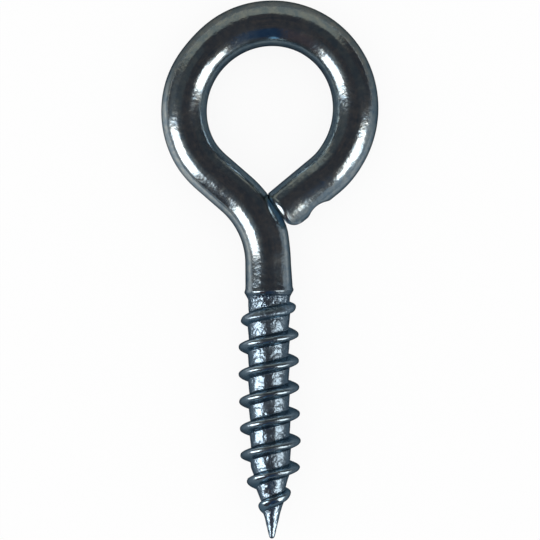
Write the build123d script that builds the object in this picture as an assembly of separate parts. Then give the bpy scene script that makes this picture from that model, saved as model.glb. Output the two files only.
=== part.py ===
from build123d import *

# Screw eye: one length of round steel wire, bent to an eye at one end, with a rolled wood thread and a gimlet
# point at the other. Millimetres, +Z up. The eye's centre is the origin and the point is towards -Y. The part
# lies as it comes to rest, leaning on the far side of its eye and on the first full crest of its thread.

import os
from math import asin, atan2, ceil, cos, degrees, hypot, pi, radians, sin, tan

# Wire and eye
WIRE_DIAMETER = 3.4
EYE_BORE = 9.4  # clear diameter inside the eye
OVERALL_LENGTH = 40.0  # from the eye's far side to the point
TAIL_ANGLE = 51.0  # degrees past crosswise, where the eye's curve runs out into its straight tail

# Neck, which carries the wire from the side of the eye back onto the screw's axis
NECK_BEND_RADIUS = 6.9  # of the wire's centreline
NECK_STRAIGHT = 2.2  # between the eye's curve and the neck's bend
EYE_OFFSET = 0.29  # of the eye's centre from the screw's axis

# Sheared end of the tail
END_GAP = 0.05  # left between the sheared end and the neck
END_ANGLE = 5.0  # degrees by which the shear runs off square
END_CORNER_RADIUS = 0.88  # of the outer corner, rolled over by the shear
END_CORNER_INSET = 0.1  # of that corner inside the wire's side
NICK_DEPTH = 0.37
NICK_LENGTH = 2.1
NICK_FROM_END = 2.3  # from the sheared end to the nick's deepest place

# Thread
THREAD_DIAMETER = 4.5
THREAD_DEPTH = 0.74
PITCH = 2.0
CREST_WIDTH = 0.18
FLANK_ANGLE = 26.0  # degrees, between each flank and a plane square to the axis
FIRST_CREST = 1.04  # from the shoulder to the thread's first crossing of the eye's plane, on the tail's side
RUN_IN_LENGTH = 3.0  # along the axis, over which the thread rises to its full depth
RUN_OUT_LENGTH = 4.6  # along the axis, over which it fades on the point
BARE_POINT = 1.4  # cone left bare ahead of the thread
RAIL_POINTS_PER_TURN = 24

# Shank, shoulder, core and point
SHANK_LENGTH = 2.3  # from the neck's bend to the middle of the shoulder
SHOULDER_DIAMETER = 3.54  # the wire swells where the thread-rolling dies stop
SHOULDER_DROP_LENGTH = 0.75
CORE_TAPER = 0.14  # by which the core's diameter falls from the shoulder to the point
POINT_LENGTH = 5.3
POINT_DIAMETER = 0.42  # across the blunt end of the point

wire_radius = WIRE_DIAMETER / 2
eye_radius = (EYE_BORE + WIRE_DIAMETER) / 2  # of the wire's centreline
crest_radius = THREAD_DIAMETER / 2
core_radius = crest_radius - THREAD_DEPTH

# The neck's bend ends square on the screw's axis, and a straight joins it to the eye's curve.
neck_reach = hypot(eye_radius + NECK_BEND_RADIUS, NECK_STRAIGHT)
neck_slope = asin((NECK_BEND_RADIUS + EYE_OFFSET) / neck_reach) + asin(NECK_STRAIGHT / neck_reach)
neck_ends_at = (neck_reach**2 - (NECK_BEND_RADIUS + EYE_OFFSET) ** 2) ** 0.5
neck_centre = (-NECK_BEND_RADIUS - EYE_OFFSET, -neck_ends_at)
neck_starts_at = (-eye_radius * sin(neck_slope), -eye_radius * cos(neck_slope))
neck_bends_at = (
    neck_centre[0] + NECK_BEND_RADIUS * sin(neck_slope),
    neck_centre[1] + NECK_BEND_RADIUS * cos(neck_slope),
)

# Distances along the screw's axis, counted from the eye's centre towards the point
tip_at = OVERALL_LENGTH - eye_radius - wire_radius
shoulder_at = neck_ends_at + SHANK_LENGTH
point_at = tip_at - POINT_LENGTH
thread_starts_at = shoulder_at + SHOULDER_DROP_LENGTH / 3
thread_ends_at = tip_at - BARE_POINT
first_crest_at = shoulder_at + FIRST_CREST

# The point's cone runs tangent onto its rounded end.
point_radius = POINT_DIAMETER / 2
cone_radius = core_radius - CORE_TAPER / 4
cone_reach = POINT_LENGTH - point_radius
cone_angle = atan2(cone_radius, cone_reach) - asin(point_radius / hypot(cone_radius, cone_reach))

# The screw is built upright about Z with the eye's centre at its foot, then laid along -Y beside that centre.
screw_place = Plane(origin=(-EYE_OFFSET, 0, 0), x_dir=(1, 0, 0), z_dir=(0, -1, 0)).location

# The tail runs straight from the eye's curve to the neck's side.
tail_angle = radians(TAIL_ANGLE)
tail_starts_at = (eye_radius * cos(tail_angle), -eye_radius * sin(tail_angle))
tail_direction = (-sin(tail_angle), -cos(tail_angle))


def tail_length():
    """Along the tail's centreline, up to the shear, which lies almost against the neck's side."""
    facing = (-sin(tail_angle + radians(END_ANGLE)), -cos(tail_angle + radians(END_ANGLE)))
    to_neck = (neck_centre[0] - tail_starts_at[0]) * facing[0] + (neck_centre[1] - tail_starts_at[1]) * facing[1]
    return (to_neck - NECK_BEND_RADIUS - wire_radius - END_GAP) / cos(radians(END_ANGLE))


def tail_plane(from_end):
    """A plane square to Z on the tail's centreline, X towards the tail's end and Y towards its outer side."""
    along = tail_length() - from_end
    origin = (tail_starts_at[0] + along * tail_direction[0], tail_starts_at[1] + along * tail_direction[1])
    return Plane(origin=(*origin, 0), x_dir=(*tail_direction, 0), z_dir=(0, 0, 1))


def shear_cutter():
    """The waste outside the sheared end, its rolled-over corner and the nick behind it."""
    big = 4 * WIRE_DIAMETER
    corner_from_axis = wire_radius - END_CORNER_INSET - END_CORNER_RADIUS
    end = tail_plane(0) * Rot(Z=-END_ANGLE) * Pos(big / 2, 0) * Rectangle(big, big)
    side = tail_plane(NICK_FROM_END) * Pos(big / 2, wire_radius - END_CORNER_INSET + big / 2) * Rectangle(big, big)
    corner = Pos(big / 2, big / 2) * Rectangle(big, big) - Circle(END_CORNER_RADIUS)
    corner = tail_plane(END_CORNER_RADIUS) * Pos(0, corner_from_axis) * corner
    nick_radius = (NICK_LENGTH**2 / 4 + NICK_DEPTH**2) / (2 * NICK_DEPTH)
    nick = tail_plane(NICK_FROM_END) * Pos(0, wire_radius - NICK_DEPTH + nick_radius) * Circle(nick_radius)
    return extrude(end + side + corner + nick, amount=WIRE_DIAMETER, both=True)


def wire_tail():
    """The straight tail, sheared off where it closes the eye against the neck."""
    start = Plane(origin=(*tail_starts_at, 0), z_dir=(*tail_direction, 0))
    return extrude(start * Circle(wire_radius), amount=tail_length() + wire_radius) - shear_cutter()


def wire_eye():
    """The eye's curve, the neck's straight and the bend that brings the wire onto the screw's axis."""
    turn = 270 - degrees(neck_slope)
    curve = CenterArc((0, 0), eye_radius, -TAIL_ANGLE, TAIL_ANGLE + turn)
    straight = Line(neck_starts_at, neck_bends_at)
    bend = CenterArc(neck_centre, NECK_BEND_RADIUS, 90 - degrees(neck_slope), degrees(neck_slope) - 90)
    section = Plane(origin=curve @ 0, z_dir=curve % 0) * Circle(wire_radius)
    return sweep(section, path=Wire([curve, straight, bend]))


def core_radius_at(distance):
    """Radius of the screw between its threads, almost straight to the point and then conical."""
    if distance < point_at:
        share = (distance - shoulder_at) / (point_at - shoulder_at)
        return core_radius - CORE_TAPER / 2 * (share - 0.5)
    return cone_radius - (distance - point_at) * tan(cone_angle)


def screw_core():
    """The shank, its shoulder, the core under the thread and the rounded gimlet point, turned about Z."""
    swell_at = shoulder_at - SHOULDER_DROP_LENGTH / 2
    drop_at = shoulder_at + SHOULDER_DROP_LENGTH / 2
    foot = (wire_radius, neck_ends_at)
    lip = (SHOULDER_DIAMETER / 2, swell_at)
    drop = (core_radius_at(drop_at), drop_at)
    step = ((lip[0] + drop[0]) / 2, (lip[1] + drop[1]) / 2)
    cone = (cone_radius, point_at)
    blunt, middle = [
        (point_radius * cos(turn), tip_at - point_radius * (1 - sin(turn)))
        for turn in (cone_angle, (cone_angle + pi / 2) / 2)
    ]
    outline = Curve() + [
        Line((0, neck_ends_at), foot),
        Line(foot, lip),
        TangentArc(lip, step, tangent=(0, 1)),
        TangentArc(step, drop, tangent=(0, -1), tangent_from_first=False),
        Line(drop, cone),
        Line(cone, blunt),
        ThreePointArc(blunt, middle, (0, tip_at)),
        Line((0, tip_at), (0, neck_ends_at)),
    ]
    return revolve(Plane.XZ * make_face(outline), axis=Axis.Z)


def thread_height_at(distance):
    """Height of the crest over the core, which starts and ends a little below the surface."""
    rise = 1 - max(0, 1 - (distance - thread_starts_at) / RUN_IN_LENGTH) ** 3
    fade = min(1, max(0, thread_ends_at - distance) / RUN_OUT_LENGTH) ** 0.6
    full = crest_radius - core_radius_at(min(distance, point_at))
    return full * rise * fade - THREAD_DEPTH / 8 * (1 - rise * fade) ** 3


def thread_rail(start, end, side, level):
    """One long edge of the thread's ridge: side is -1 or 1, level is 0 at its foot in the core, 1 at its crest."""
    points = []
    for step in range(RAIL_POINTS_PER_TURN + 1):
        distance = start + (end - start) * step / RAIL_POINTS_PER_TURN
        foot = THREAD_DEPTH / 4
        height = foot + thread_height_at(distance)
        half_width = CREST_WIDTH / 2 + (1 - level) * height * tan(radians(FLANK_ANGLE))
        radius = core_radius_at(distance) - foot + level * height
        angle = 2 * pi * (distance - first_crest_at) / PITCH
        points.append(Vector(radius * cos(angle), radius * sin(angle), distance + side * half_width))
    return points


def thread_turn(start, end):
    """One turn of the thread's ridge, right-hand, between two flanks, a crest, a foot and two flat ends."""
    corners = [thread_rail(start, end, side, level) for side, level in ((-1, 0), (-1, 1), (1, 1), (1, 0))]
    rails = [Edge.make_spline(rail) for rail in corners]
    faces = [Face.make_surface_from_curves(rails[i], rails[(i + 1) % 4]) for i in range(4)]
    faces += [Face(Wire.make_polygon([rail[at] for rail in corners])) for at in (0, -1)]
    return Solid(Shell(faces))


def screw_thread():
    """The whole single-start thread, turn by turn, rising out of the core and sinking back into the point."""
    count = ceil((thread_ends_at - thread_starts_at) / PITCH)
    turn = (thread_ends_at - thread_starts_at) / count
    return [thread_turn(thread_starts_at + i * turn, thread_starts_at + (i + 1) * turn) for i in range(count)]


def rest_tilt():
    """Degrees by which the point rises when the eye's far side and a crest on the underside both touch down."""
    tilts = [0.0]
    crossing = first_crest_at + 0.75 * PITCH
    while crossing < thread_ends_at:
        reach = crossing + eye_radius
        crest = core_radius_at(crossing) + thread_height_at(crossing)
        tilts.append(atan2(crest, reach) - asin(wire_radius / hypot(crest, reach)))
        crossing += PITCH
    return degrees(max(tilts))


def screw_eye():
    """The whole part, one solid, laid down as it comes to rest."""
    screw = screw_place * (screw_core() + screw_thread())
    return Rot(X=-rest_tilt()) * (wire_eye() + wire_tail() + screw)


part = screw_eye()
os.makedirs("parts", exist_ok=True)
export_step(part, "parts/screw_eye.step")
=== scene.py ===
"""Screw eye in bright zinc plating, lying on a pale studio floor.

A straight blank of wire is made first, sheared at one end and pointed at the other. Geometry Nodes then roll
the thread onto it, roughen it where the dies ran, bend it to its eye and lay it down as it comes to rest.
Sizes are in millimetres and angles in radians, unless a comment says otherwise.
"""

from math import asin, atan2, cos, exp, hypot, pi, radians, sin, tan

import bpy
import numpy as np
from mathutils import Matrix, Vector


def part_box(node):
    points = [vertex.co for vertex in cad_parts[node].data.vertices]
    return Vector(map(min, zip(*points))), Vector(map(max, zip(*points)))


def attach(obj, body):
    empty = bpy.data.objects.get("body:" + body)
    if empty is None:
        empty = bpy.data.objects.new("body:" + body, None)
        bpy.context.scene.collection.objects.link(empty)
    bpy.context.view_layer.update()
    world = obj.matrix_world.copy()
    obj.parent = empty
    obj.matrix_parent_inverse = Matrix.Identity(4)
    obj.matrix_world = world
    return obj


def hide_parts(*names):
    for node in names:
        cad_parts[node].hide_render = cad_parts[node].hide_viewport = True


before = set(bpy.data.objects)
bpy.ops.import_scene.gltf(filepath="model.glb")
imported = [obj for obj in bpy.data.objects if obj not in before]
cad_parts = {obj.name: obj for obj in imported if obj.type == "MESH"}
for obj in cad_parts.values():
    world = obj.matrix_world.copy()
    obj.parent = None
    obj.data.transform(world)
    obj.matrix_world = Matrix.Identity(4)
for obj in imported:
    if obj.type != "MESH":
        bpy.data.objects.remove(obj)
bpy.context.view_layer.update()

MM = 0.001  # a millimetre in metres, the scene's unit

# Wire and eye, as in the part's source
WIRE_RADIUS = 1.7
EYE_RADIUS = 6.4  # of the wire's centreline
TAIL_ANGLE = radians(51.0)
NECK_BEND_RADIUS = 6.9
NECK_STRAIGHT = 2.2
EYE_OFFSET = 0.29
TIP_AT = 31.9  # from the eye's centre to the point, along the screw's axis

# Sheared end of the tail
END_GAP = 0.05
END_FORWARD = 0.8 * END_GAP  # the sheared face all but closes the gap
END_ANGLE = radians(5.0)
END_LEAN = radians(7.0)  # its upper edge reaches further than its middle
END_LEAN_BELOW = radians(20.0)  # and its lower half, torn off, slopes back more
END_CORNER_RADIUS = 0.88
END_CORNER_INSET = 0.1
END_EDGE_ROUND = 0.12
END_ROLL_OVER = 0.5  # how much rounder the shear left the upper edge
NICK_DEPTH = 0.37
NICK_LENGTH = 2.1
NICK_FROM_END = 2.3
NICK_FREE = 0.2  # past the nick, how far the cutter's jaw stands clear of the wire
JAW_EDGE_ROUND = 0.12  # between the nick and the flat that the jaw pressed on the tail's outer side
FACET_EDGE_ROUND = 0.1  # between what the jaw pressed and the round wire
SQUEEZE_DEPTH = 0.06  # the cutter also squeezed the wire's upper outer side
SQUEEZE_TURN = radians(36.0)  # round the wire, from the eye's outer side up
SQUEEZE_STARTS = 1.0
SQUEEZE_RISE = 2.5
SQUEEZE_ENDS = 9.5
SQUEEZE_FADE = 4.0
TAIL_FALL = 0.24  # the tail's upper side falls towards its end
TAIL_FALL_TURN = radians(62.0)
TAIL_FALL_FROM = 5.2
TAIL_FALL_TO = 1.2

# Unevenness that bending leaves in the eye and the screw.
# Places on the neck and the screw are counted from the eye's centre.
EYE_WAVE = 0.065
EYE_WAVES = 2.4  # in a full turn
EYE_WAVE_TURN = radians(59.0)
EYE_WAVE_FADE = 0.3  # the angle over which it fades at both ends of the eye's curve
FLAT_DEPTH = 0.11  # where the bending tool pressed on the eye's outer side
FLAT_TURN = radians(138.0)
FLAT_LENGTH = 2.0
NECK_SWELL = 0.13  # wire gathered on the inside of the neck's bend
NECK_SWELL_AT = 9.2
NECK_SWELL_LENGTH = 0.9
SCREW_BOW = 0.04
SCREW_BOW_AT = 12.7
SCREW_BOW_LENGTH = 14.2
SCREW_BOW_FADE = 1.5  # past the neck's bend
POINT_SWAY = 0.075  # the point stands a little off the screw's axis
POINT_SWAY_FROM = 27.5
POINT_SWAY_LENGTH = 1.5

# Shank, its rolled lip, the screw's core and its point
SHANK_LENGTH = 2.3
SHOULDER_RADIUS = 1.77
LIP_AT = -0.2  # counted from the shoulder
LIP_HEIGHT = 0.06
LIP_LENGTH = 0.16
LIP_TOP = 0.04  # past the middle of the lip, where the drop to the core begins
LIP_DROP_LENGTH = 0.62
LIP_SKEW = 0.09  # the lip runs a little aslant round the wire
LIP_SKEW_TO = 1.2  # past the shoulder, where the slant is gone
LIP_SKEW_FADE = 0.5
CORE_RADIUS = 1.51
CORE_TAPER = 0.14  # by which the core's diameter narrows from the shoulder to the cone
CORE_FALL = 0.09  # half of how much the core narrows from one crest to the next
POINT_LENGTH = 5.3
POINT_RADIUS = 0.21
BARE_POINT = 1.4  # without a thread

# Thread
CREST_RADIUS = 2.25
PITCH = 2.0
CREST_WIDTH = 0.18
FLANK_ANGLE = radians(26.0)
FLANK_FULLNESS = 2.5  # the power of the flank's curve: 1 is straight, more is rounder
ROOT_FILLET = 0.1
THREAD_START = 0.25  # from the shoulder
FIRST_CREST = 0.98  # from the shoulder to the first crossing of the eye's plane, on the tail's side
RUN_IN_FROM = 0.75  # ahead of the first crest
RUN_IN_LENGTH = 0.65
FIRST_CREST_SHARE = 0.64  # of the full height, which is reached further on
FIRST_CREST_GROWTH = 2.2
FIRST_CREST_POWER = 1.3
CLEAR_OF_DROP = 0.5  # past the thread's start: the crest's height is counted from the core there
RUN_OUT_LENGTH = 4.6
RUN_OUT_POWER = 0.6
SINK_SHARE = 1 / 8  # of the thread's depth, by which the ridge ends below the surface
SINK_SLOPE = 0.8  # how fast it sinks past its ends
NO_RIDGE = -9.0  # a crest so far below the surface that nothing of it shows
FAINT_RIDGE = 0.06  # a ridge lower than this sinks below the surface with its form kept
FORMED_RIDGE = 0.4  # beside a ridge this high, the core has its saw-tooth form in full
FIRST_TURN_BLUNT = 2.2  # how much wider the first turn's crest is, in crest widths
FIRST_BLUNT_LENGTH = 1.7  # past the first crest
FIRST_BLUNT_FROM = 0.65  # ahead of it
FIRST_BLUNT_RISE = 0.35
LAST_TURN_BLUNT = 2.0
LAST_BLUNT_FROM = 3.2  # ahead of the thread's end
LAST_BLUNT_RISE = 1.6

# Where the plating's look changes, by height over the core: on the thread's flanks, and on their lower parts
FLANK_FROM = -0.08
FLANK_TO = 0.1
ROOT_FROM = 0.1
ROOT_TO = 0.5

# How rough the dies left the surface, where the screw's own roughness is 1
ROLLED_WITHIN = 0.2  # past the shoulder, all of the screw's roughness is there
SHANK_ROUGHNESS = 0.3  # at the shoulder
SHANK_ROUGH_LENGTH = 2.6
CRUMPLE = 2.2  # the first turn is rougher by this much
CRUMPLE_AT = 0.7  # past the shoulder
CRUMPLE_LENGTH = 1.5
CRINKLE_HEIGHT = 0.065  # of the dents that the dies left on the screw
CRINKLE_SIZE = 0.55
WAVE_HEIGHT = 0.012  # of the slow unevenness of drawn and bent wire
WAVE_SIZE = 2.4
SEED = 4.0

# Points of the blank's mesh and of its bending line
COLUMNS = 160  # round the wire
# Rings on the sheared face, as shares of its radius, closer together where its edge is rounded
FACE_RINGS = (0.12, 0.25, 0.4, 0.55, 0.64, 0.7, 0.75, 0.8, 0.84, 0.87, 0.9, 0.925, 0.945, 0.965, 0.985, 0.995)
TAIL_ROWS = 34
TAIL_ROWS_POWER = 1.3  # closer together towards the sheared end
TAIL_REACH = 4.0  # past the nick
WIRE_STEP = 0.33
SCREW_STEP = 0.052
FINE_AHEAD = 0.8  # of the shoulder: from there on, rows lie as close as the thread needs
TIP_ROWS = 7
EYE_POINTS = 321
NECK_POINTS = 61
LINE_STEP = 0.1  # along the screw
LEAD = 1.0  # the bending line starts this far ahead of the sheared end

# The neck's bend ends square on the screw's axis, and a straight joins it to the eye's curve.
neck_reach = hypot(EYE_RADIUS + NECK_BEND_RADIUS, NECK_STRAIGHT)
neck_slope = asin((NECK_BEND_RADIUS + EYE_OFFSET) / neck_reach) + asin(NECK_STRAIGHT / neck_reach)
neck_ends_at = (neck_reach**2 - (NECK_BEND_RADIUS + EYE_OFFSET) ** 2) ** 0.5
neck_centre = (-NECK_BEND_RADIUS - EYE_OFFSET, -neck_ends_at)
shoulder_at = neck_ends_at + SHANK_LENGTH
lip_at = shoulder_at + LIP_AT
point_at = TIP_AT - POINT_LENGTH
thread_starts_at = shoulder_at + THREAD_START
thread_ends_at = TIP_AT - BARE_POINT
first_crest_at = shoulder_at + FIRST_CREST
cone_radius = CORE_RADIUS - CORE_TAPER / 4
cone_reach = POINT_LENGTH - POINT_RADIUS
cone_angle = atan2(cone_radius, cone_reach) - asin(POINT_RADIUS / hypot(cone_radius, cone_reach))

# Lengths along the wire, counted from the sheared end
tail_start = (EYE_RADIUS * cos(TAIL_ANGLE), -EYE_RADIUS * sin(TAIL_ANGLE))
tail_direction = (-sin(TAIL_ANGLE), -cos(TAIL_ANGLE))
facing = (-sin(TAIL_ANGLE + END_ANGLE), -cos(TAIL_ANGLE + END_ANGLE))
to_neck = (neck_centre[0] - tail_start[0]) * facing[0] + (neck_centre[1] - tail_start[1]) * facing[1]
tail_length = (to_neck - NECK_BEND_RADIUS - WIRE_RADIUS - END_GAP) / cos(END_ANGLE)
eye_turn = TAIL_ANGLE + 1.5 * pi - neck_slope
neck_bend = pi / 2 - neck_slope
screw_from = tail_length + eye_turn * EYE_RADIUS + NECK_STRAIGHT + neck_bend * NECK_BEND_RADIUS - neck_ends_at
wire_length = screw_from + TIP_AT


def part_of(value):
    """A share, kept between none and all."""
    return min(1, max(0, value))


def eased(share):
    """A share that starts and ends gently."""
    return share * share * (3 - 2 * share)


def centreline():
    """Points of the bent wire's centreline, from ahead of the sheared end to past the point."""
    ahead = tail_length + LEAD
    points = [(tail_start[0] + ahead * tail_direction[0], tail_start[1] + ahead * tail_direction[1])]
    for turn in np.linspace(-TAIL_ANGLE, eye_turn - TAIL_ANGLE, EYE_POINTS):
        fade = min(1, (turn + TAIL_ANGLE) / EYE_WAVE_FADE, (eye_turn - TAIL_ANGLE - turn) / EYE_WAVE_FADE)
        radius = EYE_RADIUS + EYE_WAVE * fade * cos(EYE_WAVES * (turn - EYE_WAVE_TURN))
        points.append((radius * cos(turn), radius * sin(turn)))
    for turn in np.linspace(neck_bend, 0, NECK_POINTS):
        out, over = NECK_BEND_RADIUS * cos(turn), NECK_BEND_RADIUS * sin(turn)
        points.append((neck_centre[0] + out, neck_centre[1] + over))
    for distance in np.arange(neck_ends_at + LINE_STEP, TIP_AT + LEAD, LINE_STEP):
        bow = SCREW_BOW * cos(2 * pi * (distance - SCREW_BOW_AT) / SCREW_BOW_LENGTH)
        bow *= part_of((distance - neck_ends_at) / SCREW_BOW_FADE)
        sway = POINT_SWAY * part_of((distance - POINT_SWAY_FROM) / POINT_SWAY_LENGTH)
        points.append((-EYE_OFFSET + bow + sway, -distance))
    return [(x * MM, y * MM, 0) for x, y in points]


def core_radius_at(distance):
    """Radius of the screw between its threads: the shank, its rolled lip, the core and the point's cone."""
    if distance >= point_at:
        return cone_radius - (distance - point_at) * tan(cone_angle)
    swelling = part_of((distance - neck_ends_at) / (lip_at - neck_ends_at))
    shank = WIRE_RADIUS + (SHOULDER_RADIUS - WIRE_RADIUS) * swelling
    shank += LIP_HEIGHT * exp(-(((distance - lip_at) / LIP_LENGTH) ** 2))
    core = CORE_RADIUS - CORE_TAPER / 2 * ((distance - shoulder_at) / (point_at - shoulder_at) - 0.5)
    drop = eased(part_of((distance - lip_at - LIP_TOP) / LIP_DROP_LENGTH))
    return shank * (1 - drop) + core * drop


def thread_height_at(distance):
    """Height of the crest over the core. It starts and ends below the surface."""
    growth = part_of((distance - first_crest_at) / FIRST_CREST_GROWTH) ** FIRST_CREST_POWER
    rise = eased(part_of((distance - first_crest_at + RUN_IN_FROM) / RUN_IN_LENGTH))
    rise *= FIRST_CREST_SHARE + (1 - FIRST_CREST_SHARE) * growth
    fade = part_of((thread_ends_at - distance) / RUN_OUT_LENGTH) ** RUN_OUT_POWER
    full = CREST_RADIUS - core_radius_at(min(max(distance, thread_starts_at + CLEAR_OF_DROP), point_at))
    sunk = SINK_SHARE * (CREST_RADIUS - CORE_RADIUS) * (1 - rise * fade) ** 3
    outside = max(0, thread_starts_at - distance, distance - thread_ends_at)
    return full * rise * fade - sunk - SINK_SLOPE * outside


def bluntness_at(distance):
    """How many times wider than usual the crest is: the thread starts and ends blunt, not fully rolled."""
    run_in = FIRST_TURN_BLUNT * part_of(1 - (distance - first_crest_at) / FIRST_BLUNT_LENGTH)
    run_in *= part_of((distance - first_crest_at + FIRST_BLUNT_FROM) / FIRST_BLUNT_RISE)
    run_out = LAST_TURN_BLUNT * part_of((distance - thread_ends_at + LAST_BLUNT_FROM) / LAST_BLUNT_RISE)
    return 1 + run_in + run_out


def rolled_at(distance):
    """How rough the dies left the surface: a little on the shank, most on the screw's first turn."""
    past = distance - shoulder_at
    shank = SHANK_ROUGHNESS * (past + SHANK_ROUGH_LENGTH) / SHANK_ROUGH_LENGTH
    rolled = min(1, max(0, past / ROLLED_WITHIN, shank))
    return rolled + CRUMPLE * rolled * max(0, 1 - abs(past - CRUMPLE_AT) / CRUMPLE_LENGTH)


def rest_tilt():
    """Angle by which the point rises when the eye's far side and a crest on the underside both touch down."""
    tilts = [0.0]
    crossing = first_crest_at + 0.75 * PITCH  # three quarters of a turn on, the crest is underneath
    while crossing < thread_ends_at:
        reach = crossing + EYE_RADIUS
        crest = core_radius_at(crossing) + thread_height_at(crossing)
        tilts.append(atan2(crest, reach) - asin(WIRE_RADIUS / hypot(crest, reach)))
        crossing += PITCH
    return max(tilts)


# Places on the blank are counted along it from the sheared end, and round it from the eye's outer side.
around = 2 * pi * np.arange(COLUMNS) / COLUMNS


def soft_min(a, b, width):
    """The lower of two values, with the change between them rounded over a width."""
    h = np.clip((width - np.abs(a - b)) / width, 0, 1)
    return np.minimum(a, b) - h * h * width / 4


def side_towards(turn):
    """How much each point round the wire faces one side: 1 there, falling to none a quarter turn away."""
    return np.clip(np.cos(around - turn), 0, 1) ** 2


def outer_side_at(along):
    """How far the tail's outer side stands from its centreline, with the nick that the cutter's jaw left."""
    nick_radius = (NICK_LENGTH**2 / 4 + NICK_DEPTH**2) / (2 * NICK_DEPTH)
    away = np.clip(np.abs(along - NICK_FROM_END), 0, nick_radius)
    nick = WIRE_RADIUS - NICK_DEPTH + nick_radius - np.sqrt(nick_radius**2 - away**2)
    side = np.where(along < NICK_FROM_END, WIRE_RADIUS - END_CORNER_INSET, WIRE_RADIUS + NICK_FREE)
    return soft_min(nick, side, JAW_EDGE_ROUND)


def pressed_at(along):
    """How far the cutter and the bending tool pressed the wire's surface in, all round it."""
    squeeze = np.clip((SQUEEZE_ENDS - along) / SQUEEZE_FADE, 0, 1)
    squeeze = squeeze * np.clip((along - SQUEEZE_STARTS) / SQUEEZE_RISE, 0, 1)
    fall = eased(np.clip((TAIL_FALL_FROM - along) / (TAIL_FALL_FROM - TAIL_FALL_TO), 0, 1))
    flat_at = tail_length + (FLAT_TURN + TAIL_ANGLE) * EYE_RADIUS
    flat = np.exp(-(((along - flat_at) / FLAT_LENGTH) ** 2))
    swell = np.exp(-(((along - screw_from - NECK_SWELL_AT) / NECK_SWELL_LENGTH) ** 2))
    return (
        SQUEEZE_DEPTH * squeeze * side_towards(SQUEEZE_TURN)
        + TAIL_FALL * fall * side_towards(TAIL_FALL_TURN)
        + FLAT_DEPTH * flat * side_towards(0)
        - NECK_SWELL * swell * side_towards(pi)
    )


def sheared_end_at(outward, up):
    """How far back the sheared end lies across the wire: it slants, and its outer corner is rolled over."""
    corner = WIRE_RADIUS - END_CORNER_INSET - END_CORNER_RADIUS
    over = np.clip(outward - corner, 0, END_CORNER_RADIUS)
    rolled = END_CORNER_RADIUS - np.sqrt(END_CORNER_RADIUS**2 - over**2)
    slant = np.where(up > 0, up * tan(END_LEAN), up * tan(END_LEAN_BELOW))
    return -np.minimum(outward, corner) * tan(END_ANGLE) - slant + rolled - END_FORWARD


def round_row(radius, along, height=NO_RIDGE, rolled=1.0, blunt=1.0):
    """One row of the blank where it is round: points, height of the crest, how rolled it is and how blunt."""
    return np.cos(around) * radius, np.sin(around) * radius, np.full(COLUMNS, along), height, rolled, blunt


def blank_rows():
    """Rows of the straight blank: its sheared face, the tail and its nick, plain wire, screw and tip."""
    rows = []
    ring = np.stack([np.cos(around), np.sin(around)], 1) * WIRE_RADIUS
    side = soft_min(ring[:, 0], np.full(COLUMNS, WIRE_RADIUS - END_CORNER_INSET), FACET_EDGE_ROUND)
    edge_round = END_EDGE_ROUND + END_ROLL_OVER * side_towards(pi / 2)
    for share in FACE_RINGS:
        edge = np.clip(1 - (1 - share) * WIRE_RADIUS / edge_round, 0, 1)
        back = sheared_end_at(side * share, ring[:, 1] * share) + edge_round * (1 - (1 - edge**2) ** 0.5)
        rows.append((side * share, ring[:, 1] * share, back, NO_RIDGE, 0.0, 1.0))
    end = sheared_end_at(side, ring[:, 1]) + edge_round
    for step in range(TAIL_ROWS):
        along = end + (TAIL_REACH - end) * (step / TAIL_ROWS) ** TAIL_ROWS_POWER
        drawn = ring * (1 - pressed_at(along) / WIRE_RADIUS)[:, None]
        outer = soft_min(drawn[:, 0], outer_side_at(along), FACET_EDGE_ROUND)
        rows.append((outer, drawn[:, 1], along, NO_RIDGE, 0.0, 1.0))
    plain_to = screw_from + shoulder_at - FINE_AHEAD
    for along in np.arange(TAIL_REACH, plain_to, WIRE_STEP):
        radius = core_radius_at(along - screw_from) if along > screw_from + neck_ends_at else WIRE_RADIUS
        rows.append(round_row(radius - pressed_at(along), along, rolled=rolled_at(along - screw_from)))
    cone_to = TIP_AT - POINT_RADIUS * (1 - sin(cone_angle))
    for distance in np.arange(plain_to - screw_from, cone_to, SCREW_STEP):
        skew = LIP_SKEW * np.cos(around) * part_of((shoulder_at + LIP_SKEW_TO - distance) / LIP_SKEW_FADE)
        radius = np.array([core_radius_at(distance - lag) for lag in skew])
        height, blunt = thread_height_at(distance), bluntness_at(distance)
        rows.append(round_row(radius, distance + screw_from, height, rolled_at(distance), blunt))
    for turn in np.linspace(cone_angle, pi / 2, TIP_ROWS)[:-1]:
        rows.append(round_row(POINT_RADIUS * cos(turn), wire_length - POINT_RADIUS * (1 - sin(turn))))
    return rows


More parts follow.
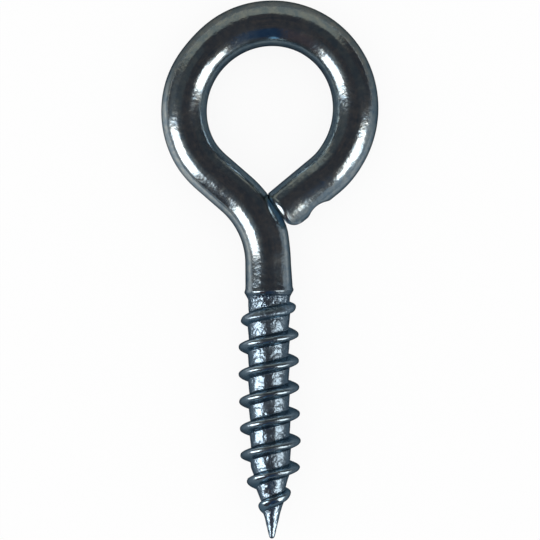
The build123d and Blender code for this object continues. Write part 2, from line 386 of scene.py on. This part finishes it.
def blank():
    """The straight blank as a closed mesh: x is the eye's outer side, y is up and z runs on to the point."""
    rows = blank_rows()
    count = len(rows)
    points = np.concatenate([np.stack(row[:3], 1) for row in rows])
    heights, rolled, blunt = [np.repeat([row[kind] for row in rows], COLUMNS) for kind in (3, 4, 5)]
    points = np.concatenate([points, [(0, 0, sheared_end_at(np.array(0.0), 0.0)), (0, 0, wire_length)]])
    faces = []
    for row in range(count - 1):
        for column in range(COLUMNS):
            a, b = row * COLUMNS + column, row * COLUMNS + (column + 1) % COLUMNS
            faces.append((a, b, b + COLUMNS, a + COLUMNS))
    foot, point, last = count * COLUMNS, count * COLUMNS + 1, (count - 1) * COLUMNS
    for column in range(COLUMNS):
        after = (column + 1) % COLUMNS
        faces.append((foot, after, column))
        faces.append((point, last + column, last + after))
    mesh = bpy.data.meshes.new("blank")
    mesh.from_pydata((points * MM).tolist(), [], faces)
    ends = {"crest_height": (NO_RIDGE * MM, NO_RIDGE * MM), "rolled": (0.0, 1.0), "bluntness": (1.0, 1.0)}
    for name, values in (("crest_height", heights * MM), ("rolled", rolled), ("bluntness", blunt)):
        attribute = mesh.attributes.new(name, "FLOAT", "POINT")
        attribute.data.foreach_set("value", np.append(values, ends[name]).astype(np.float32))
    mesh.polygons.foreach_set("use_smooth", [True] * len(mesh.polygons))
    return mesh


# Kinds of node that come up often
MATH = "ShaderNodeMath"
VECTOR_MATH = "ShaderNodeVectorMath"
MAP_RANGE = "ShaderNodeMapRange"
NOISE = "ShaderNodeTexNoise"
MIX = "ShaderNodeMix"
ATTRIBUTE = "ShaderNodeAttribute"
NAMED_ATTRIBUTE = "GeometryNodeInputNamedAttribute"


def node(tree, kind, inputs=None, **settings):
    """Adds a node with its settings, and sets or links its inputs."""
    made = tree.nodes.new(kind)
    for name, value in settings.items():
        setattr(made, name, value)
    for key, value in (inputs or {}).items():
        if isinstance(value, bpy.types.NodeSocket):
            tree.links.new(value, made.inputs[key])
        else:
            made.inputs[key].default_value = value
    return made


def roll_and_bend_tree(sizes):
    """Geometry Nodes that roll the thread onto the blank, roughen it, bend it and lay it down."""
    tree = bpy.data.node_groups.new("roll_and_bend", "GeometryNodeTree")
    kinds = {"Blank": "Geometry", "Centreline": "Object", "Finish": "Material"}
    kinds.update({name: "Float" for name in sizes})
    for name, kind in kinds.items():
        tree.interface.new_socket(name, in_out="INPUT", socket_type="NodeSocket" + kind)
    tree.interface.new_socket("Screw Eye", in_out="OUTPUT", socket_type="NodeSocketGeometry")
    given = node(tree, "NodeGroupInput").outputs
    place = node(tree, "GeometryNodeInputPosition").outputs[0]
    parts = node(tree, "ShaderNodeSeparateXYZ", {0: place}).outputs
    across = node(tree, "ShaderNodeCombineXYZ", {0: parts[0], 1: parts[1]}).outputs[0]
    outward = node(tree, VECTOR_MATH, {0: across}, operation="NORMALIZE").outputs[0]

    # Distance along the axis from the nearest crest. The thread is right-hand, with one start.
    angle = node(tree, MATH, {0: parts[1], 1: parts[0]}, operation="ARCTAN2").outputs[0]
    turned = node(tree, MATH, {0: angle, 1: 1 / (2 * pi)}, operation="MULTIPLY").outputs[0]
    travel = node(tree, MATH, {0: parts[2], 1: given["First Crest"]}, operation="SUBTRACT").outputs[0]
    travel = node(tree, MATH, {0: travel, 1: given["Pitch"]}, operation="DIVIDE").outputs[0]
    phase = node(tree, MATH, {0: travel, 1: turned}, operation="ADD").outputs[0]
    phase = node(tree, MATH, {0: phase}, operation="FRACT").outputs[0]
    phase = node(tree, MATH, {0: phase, 1: 0.5}, operation="SUBTRACT").outputs[0]
    side = node(tree, MATH, {0: phase}, operation="SIGN").outputs[0]
    fall = node(tree, MATH, {0: phase, 1: -2.0, 2: side}, operation="MULTIPLY_ADD").outputs[0]
    phase = node(tree, MATH, {0: phase}, operation="ABSOLUTE").outputs[0]
    aside = node(tree, MATH, {0: phase, 1: given["Pitch"]}, operation="MULTIPLY").outputs[0]

    # The ridge: full, rounded flanks that meet in a narrow crest, with filleted roots.
    height = node(tree, NAMED_ATTRIBUTE, {"Name": "crest_height"}, data_type="FLOAT").outputs[0]
    above = node(tree, MATH, {0: height, 1: given["Faint Ridge"]}, operation="MAXIMUM").outputs[0]
    below = node(tree, MATH, {0: height, 1: given["Faint Ridge"]}, operation="SUBTRACT").outputs[0]
    below = node(tree, MATH, {0: below, 1: 0.0}, operation="MINIMUM").outputs[0]
    blunt = node(tree, NAMED_ATTRIBUTE, {"Name": "bluntness"}, data_type="FLOAT").outputs[0]
    crest = node(tree, MATH, {0: given["Crest Half Width"], 1: blunt}, operation="MULTIPLY").outputs[0]
    slope = node(tree, MATH, {0: given["Flank Angle"]}, operation="TANGENT").outputs[0]
    half = node(tree, MATH, {0: above, 1: slope, 2: crest}, operation="MULTIPLY_ADD").outputs[0]
    share = node(tree, MATH, {0: aside, 1: half}, operation="DIVIDE").outputs[0]
    share = node(tree, MATH, {0: share, 1: given["Flank Fullness"]}, operation="POWER").outputs[0]
    share = node(tree, MATH, {0: 1.0, 1: share}, operation="SUBTRACT").outputs[0]
    full = node(tree, MATH, {0: above, 1: share, 2: below}, operation="MULTIPLY_ADD").outputs[0]

    # The dies left the core thicker below each crest than above the next one.
    formed = node(
        tree, MAP_RANGE, {0: height, 1: 0.0, 2: given["Formed Ridge"], 3: 0.0, 4: 1.0}
    ).outputs[0]
    core = node(tree, MATH, {0: fall, 1: given["Core Fall"]}, operation="MULTIPLY").outputs[0]
    core = node(tree, MATH, {0: core, 1: formed}, operation="MULTIPLY").outputs[0]
    ridge = {0: full, 1: core, 2: given["Root Fillet"]}
    ridge = node(tree, MATH, ridge, operation="SMOOTH_MAX").outputs[0]

    # Marks for the plating: where the flanks are, and their lower parts.
    flank = node(
        tree, MAP_RANGE, {0: full, 1: given["Flank From"], 2: given["Flank To"], 3: 0.0, 4: 1.0},
        interpolation_type="SMOOTHSTEP",
    ).outputs[0]
    low_flank = node(
        tree, MAP_RANGE, {0: full, 1: given["Root From"], 2: given["Root To"], 3: 1.0, 4: 0.0}
    ).outputs[0]
    root = node(tree, MATH, {0: flank, 1: low_flank}, operation="MULTIPLY").outputs[0]

    # Crinkles where the dies ran, and slow waves that drawing and bending leave in the wire.
    rolled = node(tree, NAMED_ATTRIBUTE, {"Name": "rolled"}, data_type="FLOAT").outputs[0]
    for name in ("Crinkle", "Wave"):
        scale = node(tree, MATH, {0: 1.0, 1: given[name + " Size"]}, operation="DIVIDE").outputs[0]
        noise = node(
            tree, NOISE,
            {"Vector": place, "W": given["Seed"], "Scale": scale, "Detail": 3.0, "Roughness": 0.6},
            noise_dimensions="4D",
        ).outputs[0]
        noise = node(tree, MATH, {0: noise, 1: 0.5}, operation="SUBTRACT").outputs[0]
        noise = node(tree, MATH, {0: noise, 1: given[name + " Height"]}, operation="MULTIPLY").outputs[0]
        if name == "Crinkle":
            noise = node(tree, MATH, {0: noise, 1: rolled}, operation="MULTIPLY").outputs[0]
        ridge = node(tree, MATH, {0: ridge, 1: noise}, operation="ADD").outputs[0]
    raised = node(tree, VECTOR_MATH, {0: outward, "Scale": ridge}, operation="SCALE").outputs[0]
    across = node(tree, VECTOR_MATH, {0: across, 1: raised}, operation="ADD").outputs[0]
    across = node(tree, "ShaderNodeSeparateXYZ", {0: across}).outputs

    # Bending: each cross-section is carried to its place along the centreline, square to it.
    line = node(tree, "GeometryNodeObjectInfo", {"Object": given["Centreline"]}).outputs["Geometry"]
    along = node(tree, MATH, {0: parts[2], 1: given["Lead"]}, operation="ADD").outputs[0]
    bent = node(
        tree, "GeometryNodeSampleCurve", {"Curves": line, "Length": along}, mode="LENGTH", use_all_curves=True
    ).outputs
    right = {0: bent["Tangent"], 1: (0, 0, 1)}
    right = node(tree, VECTOR_MATH, right, operation="CROSS_PRODUCT").outputs[0]
    right = node(tree, VECTOR_MATH, {0: right}, operation="NORMALIZE").outputs[0]
    right = node(tree, VECTOR_MATH, {0: right, "Scale": across[0]}, operation="SCALE").outputs[0]
    up = node(tree, "ShaderNodeCombineXYZ", {2: across[1]}).outputs[0]
    there = node(tree, VECTOR_MATH, {0: bent["Position"], 1: right}, operation="ADD").outputs[0]
    there = node(tree, VECTOR_MATH, {0: there, 1: up}, operation="ADD").outputs[0]
    made = given["Blank"]
    for name, mark in (("flank", flank), ("root", root)):
        made = node(
            tree, "GeometryNodeStoreNamedAttribute", {"Geometry": made, "Name": name, "Value": mark},
            data_type="FLOAT", domain="POINT",
        ).outputs[0]
    made = node(tree, "GeometryNodeSetPosition", {"Geometry": made, "Position": there}).outputs[0]
    tilt = node(tree, "ShaderNodeCombineXYZ", {0: given["Rest Tilt"]}).outputs[0]
    made = node(tree, "GeometryNodeTransform", {"Geometry": made, "Rotation": tilt}).outputs[0]
    made = node(tree, "GeometryNodeRealizeInstances", {"Geometry": made}).outputs[0]
    made = node(tree, "GeometryNodeSetMaterial", {"Geometry": made, "Material": given["Finish"]}).outputs[0]
    node(tree, "NodeGroupOutput", {0: made})
    return tree


def linear(colour):
    """An sRGB hex colour as linear RGBA."""
    parts = [int(colour[i : i + 2], 16) / 255 for i in (1, 3, 5)]
    return (*[c / 12.92 if c <= 0.04045 else ((c + 0.055) / 1.055) ** 2.4 for c in parts], 1.0)


def new_material(name):
    """An empty material and its node tree."""
    material = bpy.data.materials.new(name)
    material.use_nodes = True
    material.node_tree.nodes.clear()
    return material, material.node_tree


# Plating: the passivation's tints, palest on the drawn wire and bluest where its bath stayed in the roots
WIRE_TINT = "#cfd5d3"
WIRE_TINT_BLUE = "#aabbc6"
FLANK_TINT = "#b9cad5"
CORE_TINT = "#a6b8c6"
ROOT_TINT = "#92bcd4"
ROOT_TINT_SHARE = 0.6
EDGE_TINT = "#7f878c"  # the passivation takes light away at a glancing angle
# Its roughness: a good bright bath on drawn wire, duller where the dies ran
POLISH = (0.11, 0.19)
CORE_DULLER = 0.11
FLANK_DULLER = 0.05
# Its patterns: size across, and depth for those that stand in relief
BLOTCH_SIZE = 0.5556  # the passivation's bluer and paler spots
BLOTCH_SPREAD = (0.38, 0.66)  # where the noise passes from all blue to all pale
PATCH_SIZE = 2.381  # stretches of the wire that the drawing die left duller and more dimpled
PATCH_SPREAD = (0.38, 0.62)
PATCH_LEAST = 0.22  # of the dimples' depth, on the brightest stretches
PEEL_SIZE = 0.7692  # orange peel, which bends the edges of highlights
PEEL_DEPTH = 0.012
DIMPLE_SIZE = 0.2174  # zinc grain, really 0.01 to 0.05: too fine to show, so drawn as coarse as it needs
DIMPLE_DEPTH = 0.02
GRIT_SIZE = 0.4  # dents of scale between wire and dies, really 0.1 to 0.3: drawn coarser, so that they show
GRIT_DEPTH = 0.09
GRIT_MOST = 2.2  # times that, where the first turn is crumpled


def bright_zinc_plating():
    """Bright zinc plating, passivated light blue, over drawn steel wire.

    To the eye it is a mirror with a faint orange peel and fine specks where highlights fade, grey on the wire
    and bluer on the screw. Between the crests the dies left it dented, so that highlights break up there.
    """
    material, tree = new_material("bright_zinc_plating_blue_passivated")
    place = node(tree, "ShaderNodeTexCoord").outputs["Object"]
    rolled = node(tree, ATTRIBUTE, attribute_name="rolled").outputs["Fac"]
    flank = node(tree, ATTRIBUTE, attribute_name="flank").outputs["Fac"]
    root = node(tree, ATTRIBUTE, attribute_name="root").outputs["Fac"]
    core = node(tree, MATH, {0: rolled, 1: flank}, operation="SUBTRACT", use_clamp=True).outputs[0]
    root = node(tree, MATH, {0: root, 1: ROOT_TINT_SHARE}, operation="MULTIPLY").outputs[0]

    blotch = {"Vector": place, "Scale": 1 / (BLOTCH_SIZE * MM), "Detail": 4.0, "Roughness": 0.6}
    blotch = node(tree, NOISE, blotch).outputs[0]
    ramp = node(tree, "ShaderNodeValToRGB", {0: blotch})
    for end, position, colour in zip(ramp.color_ramp.elements, BLOTCH_SPREAD, (WIRE_TINT_BLUE, WIRE_TINT)):
        end.position, end.color = position, linear(colour)
    tint = ramp.outputs[0]
    for share, colour in ((flank, FLANK_TINT), (core, CORE_TINT), (root, ROOT_TINT)):
        tint = node(
            tree, MIX, {"Factor": share, "A": tint, "B": linear(colour)}, data_type="RGBA"
        ).outputs["Result"]

    patch = {"Vector": place, "Scale": 1 / (PATCH_SIZE * MM), "Detail": 2.0}
    patch = node(tree, NOISE, patch).outputs[0]
    patch = {0: patch, 1: PATCH_SPREAD[0], 2: PATCH_SPREAD[1], 3: PATCH_LEAST, 4: 1.0}
    patch = node(tree, MAP_RANGE, patch).outputs[0]
    peel = {"Vector": place, "Scale": 1 / (PEEL_SIZE * MM), "Detail": 2.0}
    peel = node(tree, NOISE, peel).outputs[0]
    dimple = {"Vector": place, "Scale": 1 / (DIMPLE_SIZE * MM), "Detail": 3.0}
    dimple = node(tree, NOISE, dimple).outputs[0]
    dimple = node(tree, MATH, {0: dimple, 1: patch}, operation="MULTIPLY").outputs[0]
    grit = {"Vector": place, "Scale": 1 / (GRIT_SIZE * MM), "Detail": 2.0}
    grit = node(tree, NOISE, grit).outputs[0]
    dented = node(tree, MATH, {0: rolled, 1: flank}, operation="SUBTRACT").outputs[0]
    dented = node(tree, "ShaderNodeClamp", {"Value": dented, "Min": 0.0, "Max": GRIT_MOST}).outputs[0]
    grit = node(tree, MATH, {0: grit, 1: dented}, operation="MULTIPLY").outputs[0]
    relief = node(tree, "ShaderNodeBump", {"Height": peel, "Distance": PEEL_DEPTH * MM}).outputs[0]
    for pattern, depth in ((dimple, DIMPLE_DEPTH), (grit, GRIT_DEPTH)):
        relief = node(
            tree, "ShaderNodeBump", {"Height": pattern, "Distance": depth * MM, "Normal": relief}
        ).outputs[0]

    rough = node(tree, MAP_RANGE, {0: patch, 1: 0.0, 2: 1.0, 3: POLISH[0], 4: POLISH[1]}).outputs[0]
    for share, duller in ((core, CORE_DULLER), (flank, FLANK_DULLER)):
        rough = node(tree, MATH, {0: share, 1: duller, 2: rough}, operation="MULTIPLY_ADD").outputs[0]
    shader = node(
        tree, "ShaderNodeBsdfPrincipled",
        {"Base Color": tint, "Metallic": 1.0, "Roughness": rough, "Normal": relief,
         "Specular Tint": linear(EDGE_TINT)},
    ).outputs[0]
    node(tree, "ShaderNodeOutputMaterial", {0: shader})
    return material


def add_object(name, data):
    """An object in the scene, at the origin."""
    made = bpy.data.objects.new(name, data)
    bpy.context.scene.collection.objects.link(made)
    return made


def screw_eye():
    """The whole piece, rolled and bent by the tree, as a plain mesh."""
    curve = bpy.data.curves.new("centreline", "CURVE")
    curve.dimensions = "3D"
    points = centreline()
    spline = curve.splines.new("POLY")
    spline.points.add(len(points) - 1)
    for point, place in zip(spline.points, points):
        point.co = (*place, 1)
    line = add_object("centreline", curve)
    straight = add_object("blank", blank())
    sizes = {
        "Lead": LEAD * MM,
        "First Crest": (screw_from + first_crest_at) * MM,
        "Pitch": PITCH * MM,
        "Crest Half Width": CREST_WIDTH / 2 * MM,
        "Flank Angle": FLANK_ANGLE,
        "Flank Fullness": FLANK_FULLNESS,
        "Faint Ridge": FAINT_RIDGE * MM,
        "Formed Ridge": FORMED_RIDGE * MM,
        "Root Fillet": ROOT_FILLET * MM,
        "Core Fall": CORE_FALL * MM,
        "Flank From": FLANK_FROM * MM,
        "Flank To": FLANK_TO * MM,
        "Root From": ROOT_FROM * MM,
        "Root To": ROOT_TO * MM,
        "Crinkle Height": CRINKLE_HEIGHT * MM,
        "Crinkle Size": CRINKLE_SIZE * MM,
        "Wave Height": WAVE_HEIGHT * MM,
        "Wave Size": WAVE_SIZE * MM,
        "Rest Tilt": -rest_tilt(),
        "Seed": SEED,
    }
    modifier = straight.modifiers.new("roll_and_bend", "NODES")
    modifier.node_group = roll_and_bend_tree(sizes)
    given = {"Centreline": line, "Finish": bright_zinc_plating(), **sizes}
    for socket in modifier.node_group.interface.items_tree:
        if socket.in_out == "INPUT" and socket.name in given:
            modifier[socket.identifier] = given[socket.name]
    bpy.context.view_layer.update()
    graph = bpy.context.evaluated_depsgraph_get()
    mesh = bpy.data.meshes.new_from_object(straight.evaluated_get(graph), depsgraph=graph)
    mesh.name = "screw_eye_plated"
    made = add_object("screw_eye_plated", mesh)
    for helper in (straight, line):
        bpy.data.objects.remove(helper)
    return made


piece = screw_eye()
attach(piece, "root")
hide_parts("screw_eye")

# Floor
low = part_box("screw_eye")[0]  # in metres
FLOOR_REACH = 1500
FLOOR_COLOUR = "#f4f4f4"
FLOOR_WHITE = 0.9  # share of plain white that the lens gets; the rest is lit, and keeps the soft shadow
# The same sheet as the metal sees it: a painted shade near the part, a little different behind it, seen only
# in the metal's reflections, and white far away
SHADE_NEAR = "#6d7880"
SHADE_BACK = "#737370"
SHADE_BACK_FROM, SHADE_BACK_TO = 2, 9
PAINTED_FLOOR_PATCHES = (  # middle, radius where it starts and where it is full, colour and edge
    ((0, 4.2), 5.2, 3.2, "#4b5761", "LINEAR"),  # painted shadow of the eye, inside it
    ((-16, -7), 14, 6, "#cfcfcf", "SMOOTHSTEP"),  # a painted pool of light on the left, as if from the left softbox
    ((13, -9.5), 9.5, 3.5, "#a6abb0", "SMOOTHSTEP"),  # and a weaker painted one on the right
)
SHADE_MIDDLE = -12
SHADE_STRETCH = 0.5  # the shade reaches twice as far along the part as across it
SHADE_TO, WHITE_FROM = 50, 300


def pale_floor():
    """Matt white studio sheet. The lens sees it near white, with a soft shadow; the metal sees it with a
    painted shade, darkest near the part.
    """
    material, tree = new_material("matt_white_sheet")
    path = node(tree, "ShaderNodeLightPath").outputs
    place = node(tree, "ShaderNodeTexCoord").outputs["Object"]
    back = node(tree, "ShaderNodeSeparateXYZ", {0: place}).outputs[1]
    back = {0: back, 1: SHADE_BACK_FROM * MM, 2: SHADE_BACK_TO * MM, 3: 0.0, 4: 1.0}
    shares = [(node(tree, MAP_RANGE, back).outputs[0], SHADE_BACK)]
    for middle, outer, inner, colour, edge in PAINTED_FLOOR_PATCHES:
        middle = (middle[0] * MM, middle[1] * MM, low.z)
        away = node(tree, VECTOR_MATH, {0: place, 1: middle}, operation="DISTANCE").outputs["Value"]
        share = {0: away, 1: outer * MM, 2: inner * MM, 3: 0.0, 4: 1.0}
        share = node(tree, MAP_RANGE, share, interpolation_type=edge).outputs[0]
        shares.append((share, colour))
    away = node(tree, VECTOR_MATH, {0: place, 1: (0, -SHADE_MIDDLE * MM, 0)}, operation="ADD").outputs[0]
    away = node(tree, VECTOR_MATH, {0: away, 1: (1, SHADE_STRETCH, 0)}, operation="MULTIPLY").outputs[0]
    away = node(tree, VECTOR_MATH, {0: away}, operation="LENGTH").outputs["Value"]
    far = {0: away, 1: SHADE_TO * MM, 2: WHITE_FROM * MM, 3: 0.0, 4: 1.0}
    shares.append((node(tree, MAP_RANGE, far).outputs[0], "#ffffff"))
    # Painted shade: what the metal's reflections see of the sheet, darker near and behind the part, white far
    # away
    shade = linear(SHADE_NEAR)
    for share, colour in shares:
        shade = node(
            tree, MIX, {"Factor": share, "A": shade, "B": linear(colour)}, data_type="RGBA"
        ).outputs["Result"]
    seen = {0: path["Is Camera Ray"], 1: path["Is Transmission Ray"]}
    seen = node(tree, MATH, seen, operation="MAXIMUM").outputs[0]
    seen = node(tree, MATH, {0: seen, 1: FLOOR_WHITE}, operation="MULTIPLY").outputs[0]
    share = node(tree, MATH, {0: seen, 1: path["Is Glossy Ray"]}, operation="MAXIMUM").outputs[0]
    # Glossy rays get the painted shade in place of plain white
    white = {"Factor": path["Is Glossy Ray"], "A": linear("#ffffff"), "B": shade}
    white = node(tree, MIX, white, data_type="RGBA").outputs["Result"]
    white = node(tree, "ShaderNodeEmission", {"Color": white, "Strength": 1.0}).outputs[0]
    matt = node(tree, "ShaderNodeBsdfDiffuse", {"Color": linear(FLOOR_COLOUR)}).outputs[0]
    mixed = node(tree, "ShaderNodeMixShader", {0: share, 1: matt, 2: white}).outputs[0]
    node(tree, "ShaderNodeOutputMaterial", {0: mixed})
    return material


floor_mesh = bpy.data.meshes.new("floor")
reach = FLOOR_REACH * MM
corners = [(-reach, -reach, low.z), (reach, -reach, low.z), (reach, reach, low.z), (-reach, reach, low.z)]
floor_mesh.from_pydata(corners, [], [(0, 1, 2, 3)])
floor_mesh.materials.append(pale_floor())
floor = add_object("floor", floor_mesh)

# Studio: a dark tent that only the metal sees, with two softboxes low on the near side, cards and flags.
# Every level is the brightness of a panel's colour, where 1 is the colour as written.
STUDIO_LEVEL = 0.42
PANEL_STEPS = 24  # across and down a curved panel
FOLD_SIZE = 33.33  # of the tent's cloth
FOLD_SPREAD = (0.4, 0.6)
FOLD_TINTS = ("#3e4b57", "#756a69")
TENT_RADIUS = 500


def panel_light(name, colour, soft, level=STUDIO_LEVEL, cover=1.0, one_sided=False):
    """Light of one panel, fading over a share of its width at its edges.

    Cover is how much it hides of what is behind it.
    """
    material, tree = new_material(name)
    place = node(tree, "ShaderNodeUVMap", uv_map="panel").outputs[0]
    share = cover
    for part in node(tree, "ShaderNodeSeparateXYZ", {0: place}).outputs[:2]:
        away = node(tree, MATH, {0: part, 1: 0.5}, operation="SUBTRACT").outputs[0]
        away = node(tree, MATH, {0: away}, operation="ABSOLUTE").outputs[0]
        side = {0: away, 1: 0.5, 2: 0.5 - soft, 3: 0.0, 4: 1.0}
        side = node(tree, MAP_RANGE, side, interpolation_type="SMOOTHSTEP").outputs[0]
        share = node(tree, MATH, {0: side, 1: share}, operation="MULTIPLY").outputs[0]
    if one_sided:
        back = node(tree, "ShaderNodeNewGeometry").outputs["Backfacing"]
        front = node(tree, MATH, {0: 1.0, 1: back}, operation="SUBTRACT").outputs[0]
        share = node(tree, MATH, {0: share, 1: front}, operation="MULTIPLY").outputs[0]
    clear = node(tree, "ShaderNodeBsdfTransparent").outputs[0]
    glow = node(tree, "ShaderNodeEmission", {"Color": linear(colour), "Strength": level}).outputs[0]
    mixed = node(tree, "ShaderNodeMixShader", {0: share, 1: clear, 2: glow}).outputs[0]
    node(tree, "ShaderNodeOutputMaterial", {0: mixed})
    return material


def tent_cloth():
    """Dark studio cloth, a little browner and a little bluer by turns."""
    material, tree = new_material("dark_studio_cloth")
    place = node(tree, "ShaderNodeTexCoord").outputs["Object"]
    folds = {"Vector": place, "Scale": 1 / (FOLD_SIZE * MM), "Detail": 4.0}
    folds = node(tree, NOISE, folds).outputs[0]
    ramp = node(tree, "ShaderNodeValToRGB", {0: folds})
    for end, position, colour in zip(ramp.color_ramp.elements, FOLD_SPREAD, FOLD_TINTS):
        end.position, end.color = position, linear(colour)
    glow = node(tree, "ShaderNodeEmission", {"Color": ramp.outputs[0], "Strength": STUDIO_LEVEL}).outputs[0]
    node(tree, "ShaderNodeOutputMaterial", {0: glow})
    return material


def studio_sheet(name, points, across, down, material):
    """A sheet from a grid of points. Only the metal's reflections see it."""
    row = across + 1
    corners = [j * row + i for j in range(down) for i in range(across)]
    mesh = bpy.data.meshes.new(name)
    mesh.from_pydata(points, [], [(a, a + 1, a + row + 1, a + row) for a in corners])
    uv = mesh.uv_layers.new(name="panel")
    for loop in mesh.loops:
        j, i = divmod(loop.vertex_index, row)
        uv.data[loop.index].uv = (i / across, j / down)
    mesh.materials.append(material)
    made = add_object(name, mesh)
    made.visible_camera = False
    made.visible_diffuse = False
    made.visible_shadow = False


def panel(name, bearings, slopes, distance, material):
    """A curved panel between two bearings round the part and two angles from overhead, all in degrees."""
    points = []
    for j in range(PANEL_STEPS + 1):
        for i in range(PANEL_STEPS + 1):
            a = radians(bearings[0] + (bearings[1] - bearings[0]) * i / PANEL_STEPS)
            s = radians(slopes[0] + (slopes[1] - slopes[0]) * j / PANEL_STEPS)
            points.append(Vector((sin(s) * cos(a), sin(s) * sin(a), cos(s))) * distance * MM)
    studio_sheet(name, points, PANEL_STEPS, PANEL_STEPS, material)


def near_flag(name, place, bearing, width, heights, material):
    """A small upright flag close to the part: it keeps far panels off one stretch of the wire.

    Its heights are counted from the floor, and its bearing is in degrees.
    """
    aside = Vector((-sin(radians(bearing)), cos(radians(bearing)), 0)) * width / 2
    points = []
    for height in heights:
        middle = Vector((*place, low.z / MM + height))
        points += [(middle - aside) * MM, (middle + aside) * MM]
    studio_sheet(name, points, 1, 1, material)


def gap_card(name, ahead, above, below, half_width, material):
    """A card in the narrow gap before the sheared end, seen from the end only.

    The metal sees itself over and over in there; the card is a painted reflection that stands for what it
    sees.
    """
    end_centre = [tail_start[i] + tail_length * tail_direction[i] for i in (0, 1)]
    points = []
    for up in (above, -below):
        out = ahead + up * tan(END_LEAN)
        for aside in (-half_width, half_width):
            x = end_centre[0] + facing[0] * out - facing[1] * aside
            y = end_centre[1] + facing[1] * out + facing[0] * aside
            points.append((x * MM, y * MM, up * MM))
    studio_sheet(name, points, 1, 1, material)


PANELS = (  # name, bearings and angles from overhead in degrees, distance, colour, softness of edges, level
    ("softbox_left", (182, 224), (37, 87), 300, "#fbfdff", 0.2, 3.4),
    ("spill_left", (176, 232), (8, 72), 310, "#aab0b4", 0.45, 0.5),
    ("softbox_right", (308, 352), (32, 88), 300, "#fffefb", 0.2, 3.6),
    ("flag", (300, 334), (22, 56), 280, "#5b5758", 0.3, STUDIO_LEVEL),
    ("grey_card_far", (42, 152), (47, 92), 400, "#cfd0c6", 0.08, STUDIO_LEVEL),
    ("grey_card_left", (148, 190), (34, 92), 410, "#84898d", 0.3, STUDIO_LEVEL),
    ("blue_glint", (263, 273), (74, 87), 370, "#90cfff", 0.3, 0.62),
    ("blue_card", (253, 306), (18, 84), 420, "#3d5a7c", 0.25, STUDIO_LEVEL),
    ("brown_card", (226, 262), (18, 84), 430, "#6b5c61", 0.2, STUDIO_LEVEL),
)
for name, bearings, slopes, distance, colour, soft, level in PANELS:
    panel(name, bearings, slopes, distance, panel_light(name, colour, soft, level))
FLAGS = (  # name, middle, bearing in degrees, width, heights from the floor, colour, softness of edges, cover
    ("flag_by_tail", (13.7, -14), 321, 13, (0.3, 9.2), "#ced9e3", 0.2, 1.0),
    ("flag_by_end", (6.9, -15.3), 310, 5, (5.5, 13), "#8a929a", 0.2, 1.0),
    ("flag_by_neck", (4.2, -12.2), 348, 2.4, (5.3, 9.2), "#57585c", 0.2, 1.0),
    ("flag_by_eye", (19.5, -3.5), 350, 11, (0.3, 8.0), "#c6d0d8", 0.2, 1.0),
    ("flag_by_eye_left", (-9.3, 3.8), 150, 9, (6.0, 24), "#6a7075", 0.1, 1.0),
    ("flag_by_eye_right", (8.6, 6.2), 47, 13, (5.4, 22), "#5c6167", 0.1, 1.0),
    ("flag_by_screw", (7, -23.5), 0, 20, (0.3, 12), "#5a6973", 0.1, 0.45),
)
for name, middle, bearing, width, heights, colour, soft, cover in FLAGS:
    near_flag(name, middle, bearing, width, heights, panel_light(name, colour, soft, cover=cover))
# A painted reflection: a glowing card that stands for the metal's own reflections in the gap
gap_reflection_glow = panel_light("gap_card", "#5b7488", 0.1, level=1.0, one_sided=True)
gap_card("gap_card", ahead=0.06, above=1.35, below=1.5, half_width=1.55, material=gap_reflection_glow)
panel("studio_tent", (0, 360), (0, 180), TENT_RADIUS, tent_cloth())

# A plain white world lights the scene, and the camera sees it past the floor's edge.
world = bpy.data.worlds.new("pale_studio")
bpy.context.scene.world = world
world.use_nodes = True
tree = world.node_tree
tree.nodes.clear()
sky = node(tree, "ShaderNodeBackground", {"Color": linear("#ffffff"), "Strength": 1.0}).outputs[0]
node(tree, "ShaderNodeOutputWorld", {0: sky})

# Camera, straight above the part as it lies
VIEW_WIDTH = 40.18  # of the floor in view
VIEW_CENTRE = (-0.156, -11.945)
VIEW_ROLL = radians(-0.63)
CAMERA_HEIGHT = 400
camera_data = bpy.data.cameras.new("camera")
camera = add_object("camera", camera_data)
camera_data.sensor_width = 36.0
camera_data.lens = camera_data.sensor_width * CAMERA_HEIGHT / VIEW_WIDTH
camera.location = (VIEW_CENTRE[0] * MM, VIEW_CENTRE[1] * MM, CAMERA_HEIGHT * MM)
camera.rotation_euler = (0, 0, VIEW_ROLL)
bpy.context.scene.camera = camera
bpy.context.scene.view_settings.view_transform = "Standard"
